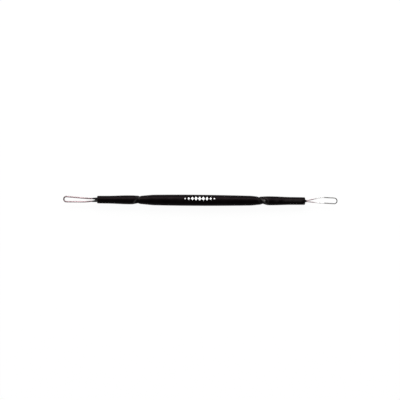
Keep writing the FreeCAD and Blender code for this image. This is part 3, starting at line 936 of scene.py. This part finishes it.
def grown_size(tree, count):
    """A size for each point of a row, smallest at both ends and 1 in the middle."""
    last = maths(tree, "SUBTRACT", count, 1.0)
    share = maths(tree, "DIVIDE", node(tree, "GeometryNodeInputIndex").outputs[0], last)
    swell = maths(tree, "SINE", maths(tree, "MULTIPLY", share, math.pi))
    return maths(tree, "MULTIPLY_ADD", swell, 1 - SMALLEST, SMALLEST)


print("lozenges grow from", SMALLEST, "to 1")


# %% [markdown]
# ## Laying the film on the grip
# The row is set out flat above the grip and dropped straight down. A copy of the film pushed a
# little way below the surface closes it underneath, so that the print is a solid of its own.

# %% The print tree
RAY_LENGTH = 0.1
SUNK_FILMS = 3.0
WELD = 0.001 * MM


def print_tree():
    tree, given, output = new_tree(
        "lozenge_row", ("Grip", "NodeSocketObject"), ("Count", "NodeSocketInt"),
        ("Pitch", "NodeSocketFloat"), ("Length", "NodeSocketFloat"), ("Width", "NodeSocketFloat"),
        ("Place", "NodeSocketVector"), ("Film", "NodeSocketFloat"),
        ("Finish", "NodeSocketMaterial"))
    asked = given.outputs
    step = node(tree, "ShaderNodeCombineXYZ", X=asked["Pitch"])
    row = node(tree, "GeometryNodeMeshLine", {"mode": "OFFSET"}, Count=asked["Count"],
               Start_Location=asked["Place"], Offset=step.outputs[0])
    set_out = node(tree, "GeometryNodeInstanceOnPoints", Points=row.outputs[0],
                   Instance=lozenge_tile(tree, asked["Length"], asked["Width"]),
                   Scale=grown_size(tree, asked["Count"]))
    flat = node(tree, "GeometryNodeRealizeInstances", Geometry=set_out.outputs[0])
    shape = node(tree, "GeometryNodeObjectInfo", {"transform_space": "ORIGINAL"},
                 Object=asked["Grip"])
    drop = node(tree, "GeometryNodeRaycast", Target_Geometry=shape.outputs["Geometry"],
                Ray_Direction=(0, 0, -1), Ray_Length=RAY_LENGTH)
    lift = node(tree, "ShaderNodeVectorMath", {"operation": "SCALE"},
                _0=drop.outputs["Hit Normal"], Scale=asked["Film"])
    laid = node(tree, "GeometryNodeSetPosition", Geometry=flat.outputs[0],
                Position=drop.outputs["Hit Position"], Offset=lift.outputs[0])
    film = node(tree, "GeometryNodeExtrudeMesh", {"mode": "FACES"}, Mesh=laid.outputs[0],
                Offset_Scale=maths(tree, "MULTIPLY", asked["Film"], -SUNK_FILMS), Individual=False)
    under = node(tree, "GeometryNodeFlipFaces", Mesh=film.outputs["Mesh"])
    both = node(tree, "GeometryNodeJoinGeometry")
    tree.links.new(laid.outputs[0], both.inputs[0])
    tree.links.new(under.outputs[0], both.inputs[0])
    closed = node(tree, "GeometryNodeMergeByDistance", Geometry=both.outputs[0], Distance=WELD)
    ending(tree, closed.outputs[0], asked["Finish"], output)
    return tree


lozenge_row = print_tree()
print(lozenge_row.name, "has", len(lozenge_row.nodes), "nodes")


# %% [markdown]
# ## White ink
# Pad print is thin and never quite even: it is a little greyer where the film is thin, and its
# surface has the faint grain of the pad.

# %% Ink finish and the row
PRINT_COUNT = 9
PRINT_PITCH = 1.86 * MM
LOZENGE_LENGTH = 1.7 * MM
LOZENGE_WIDTH = 2.1 * MM
FILM = 0.008 * MM
PRINT_UP = 0.31
PAD_DEPTH = 0.004 * MM


def white_ink():
    material, tree, shader = new_finish("white_pad_print", Specular_IOR_Level=0.3)
    place = on_piece(tree)
    thin = between(tree, noise(tree, place, 1800.0, 4.0), 0.35, 0.75, 0.0, 1.0)
    join(tree, shader,
         Base_Color=mixed(tree, thin, grey(0.80), grey(0.55)),
         Roughness=between(tree, thin, 0.0, 1.0, 0.45, 0.6),
         Normal=relief(tree, noise(tree, place, 12000.0, 1.0), 0.2, PAD_DEPTH))
    return material


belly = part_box("centre_grip")[1].z
first_lozenge = (-PRINT_PITCH * (PRINT_COUNT - 1) / 2, belly * PRINT_UP, 3 * belly)
print_source = bpy.data.objects.new("print_source", bpy.data.meshes.new("print_source"))
ornament = run_tree("belly_print", lozenge_row, print_source, Grip=grip, Count=PRINT_COUNT,
                    Pitch=PRINT_PITCH, Length=LOZENGE_LENGTH, Width=LOZENGE_WIDTH, Film=FILM,
                    Place=first_lozenge, Finish=white_ink())
print(ornament.name, len(ornament.data.polygons), "faces")


# %% [markdown]
# ## Putting the pieces on the frame
# Every dressed piece rides on the frame's one body and stands for its CAD node, which is hidden.
# The lozenges are extra, so they stand for nothing.

# %% Ride and replace
dressed = [(grip, "centre_grip", "handle_plastic", plastic)]
for side in SIDES:
    dressed.append((sleeves[side], f"{side}_sleeve", "handle_plastic", plastic))
    dressed.append((loops[side], f"{side}_loop", "loop_wire", None))
    dressed.append((resins[side], f"{side}_potting", "resin", None))
for piece, cad_node, slot, finish in dressed:
    if finish:
        piece.data.materials.append(finish)
    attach(piece, "root")
    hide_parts(cad_node)
    print(f"{piece.name} stands for {cad_node}")
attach(ornament, "root")


# %% [markdown]
# ## Floor and light
# The tool lies on a pale floor. One broad soft box stands behind it, on the +Y side, and gives
# the long quiet highlight on the upper flank of the handle. A sky that is bright at the horizon
# and dim overhead fills the rest. To the camera, and in reflections, most of the floor's white
# comes from a plain emission of 1, and the rest is lit, so the tool keeps its shadow.

# %% Floor
FLOOR_HALF = 1.5
FLOOR_GAP = 0.02 * MM
FLOOR_GLOW = 0.96


def pale_floor():
    material = bpy.data.materials.new("pale_floor")
    material.use_nodes = True
    tree = material.node_tree
    tree.nodes.clear()
    output = tree.nodes.new("ShaderNodeOutputMaterial")
    ray = node(tree, "ShaderNodeLightPath").outputs
    seen = maths(tree, "MAXIMUM", ray["Is Camera Ray"], ray["Is Glossy Ray"])
    seen = maths(tree, "MAXIMUM", seen, ray["Is Transmission Ray"])
    share = maths(tree, "MULTIPLY", seen, FLOOR_GLOW)
    lit = node(tree, "ShaderNodeBsdfDiffuse", Color=grey(0.92))
    white = node(tree, "ShaderNodeEmission", Color=grey(1.0), Strength=1.0)
    both = node(tree, "ShaderNodeMixShader", _0=share, _1=lit.outputs[0], _2=white.outputs[0])
    tree.links.new(both.outputs[0], output.inputs["Surface"])
    return material


floor_z = cad_box[0].z - FLOOR_GAP
floor_mesh = bpy.data.meshes.new("floor")
square = ((-1, -1), (1, -1), (1, 1), (-1, 1))
corners = [(x * FLOOR_HALF, y * FLOOR_HALF, floor_z) for x, y in square]
floor_mesh.from_pydata(corners, [], [(0, 1, 2, 3)])
floor = bpy.data.objects.new("floor", floor_mesh)
floor.data.materials.append(pale_floor())
bpy.context.scene.collection.objects.link(floor)
print("floor at z", round(floor_z / MM, 2), "mm")


# %% Lamp and sky
KEY_PLACE = Vector((0.0, 0.66, 0.55))
KEY_SIZE = (1.4, 0.42)
KEY_WATTS = 17.0
SKY_HORIZON = 0.9
SKY_ZENITH = 0.12
SKY_DIM_FROM = 0.8


def key_soft_box():
    lamp = bpy.data.lights.new("key_soft_box", "AREA")
    lamp.shape = "RECTANGLE"
    lamp.size, lamp.size_y = KEY_SIZE
    lamp.energy = KEY_WATTS
    holder = bpy.data.objects.new("key_soft_box", lamp)
    holder.location = KEY_PLACE
    holder.rotation_euler = (-KEY_PLACE).to_track_quat("-Z", "Y").to_euler()
    bpy.context.scene.collection.objects.link(holder)


def studio_sky():
    world = bpy.data.worlds.new("studio_sky")
    world.use_nodes = True
    tree = world.node_tree
    background = tree.nodes["Background"]
    direction = node(tree, "ShaderNodeTexCoord").outputs["Generated"]
    up = node(tree, "ShaderNodeSeparateXYZ", Vector=direction).outputs[2]
    join(tree, background,
         Strength=between(tree, up, 0.0, SKY_DIM_FROM, SKY_HORIZON, SKY_ZENITH))
    background.inputs["Color"].default_value = grey(1.0)
    bpy.context.scene.world = world


key_soft_box()
studio_sky()
print("lamp and sky set")


# %% [markdown]
# ## Camera
# The picture looks straight down on the tool. A long lens far away keeps the round sections
# free of perspective. The picture is 400 pixels wide, the tool covers 275 of them and is turned
# by less than half a degree, so the camera turns the same way.

# %% Straight-down camera
PICTURE_PIXELS = 400
TOOL_PIXELS = 275.25
OFF_CENTRE_PIXELS = (0.3, 0.318)
TILT = math.radians(0.4016)
pixel = (cad_box[1].x - cad_box[0].x) / TOOL_PIXELS
lens = bpy.data.cameras.new("overhead")
lens.lens, lens.sensor_width = 200.0, 36.0
lens.clip_start, lens.clip_end = 0.01, 50.0
height = PICTURE_PIXELS * pixel * lens.lens / lens.sensor_width
camera = bpy.data.objects.new("overhead", lens)
camera.location = (*(pixel * off for off in OFF_CENTRE_PIXELS), height)
camera.rotation_euler = (0, 0, TILT)
bpy.context.scene.collection.objects.link(camera)
bpy.context.scene.camera = camera
bpy.context.scene.view_settings.view_transform = "Standard"
print(f"camera {height:.3f} m above the tool, {pixel / MM:.4f} mm a pixel")
